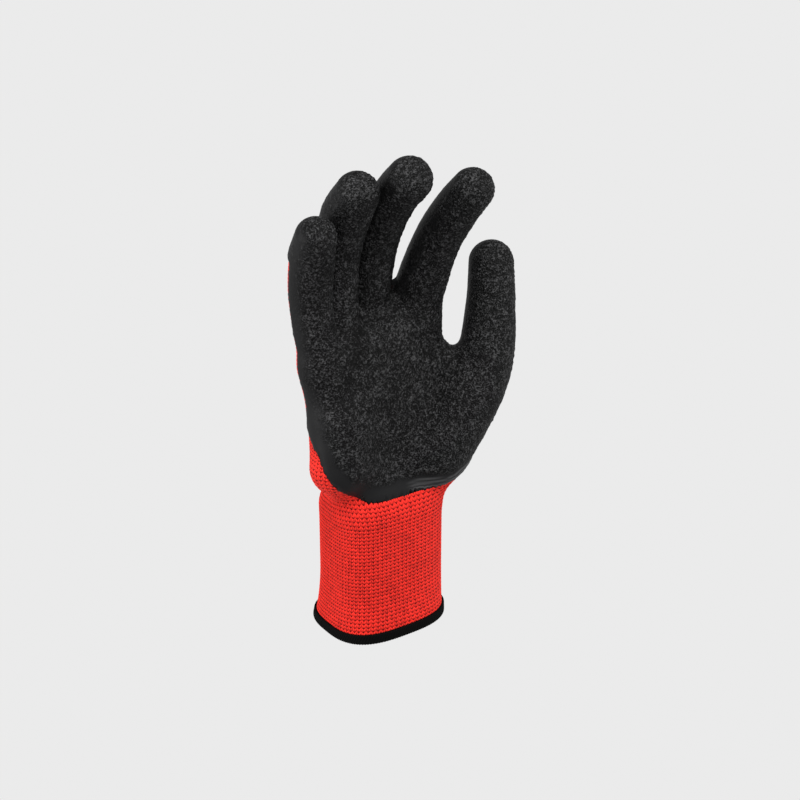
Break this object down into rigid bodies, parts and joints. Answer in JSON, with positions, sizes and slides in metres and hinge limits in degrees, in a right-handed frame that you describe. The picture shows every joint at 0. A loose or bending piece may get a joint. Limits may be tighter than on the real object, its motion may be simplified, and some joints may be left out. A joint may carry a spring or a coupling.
{
  "type": "latex coated grip glove",
  "caption": "Right-hand knitted work glove with a crinkled latex palm and fingertips, held open as worn.",
  "frame": {"origin": "centre of the cuff's opening, level with its lower edge", "axes": "+Z along the forearm towards the fingertips, the palm faces -Y, the thumb is towards +X"},
  "size_m": [0.1222, 0.0632, 0.2442],
  "materials": {
    "knit": "red polyester yarn knitted in fine plain stitches, matt with a soft sheen",
    "cuff_knit": "the same red yarn with an elastic thread, in tight even courses",
    "latex": "black natural latex with a fine crinkled grip texture, smooth along its lower edge",
    "hem_yarn": "near-black overlock yarn wound over the cuff's edge"
  },
  "bodies": {
    "root": {"knit_hand": "knit", "knit_cuff": "cuff_knit", "latex_coating": "latex", "overlock_hem": "hem_yarn"}
  },
  "joints": []
}
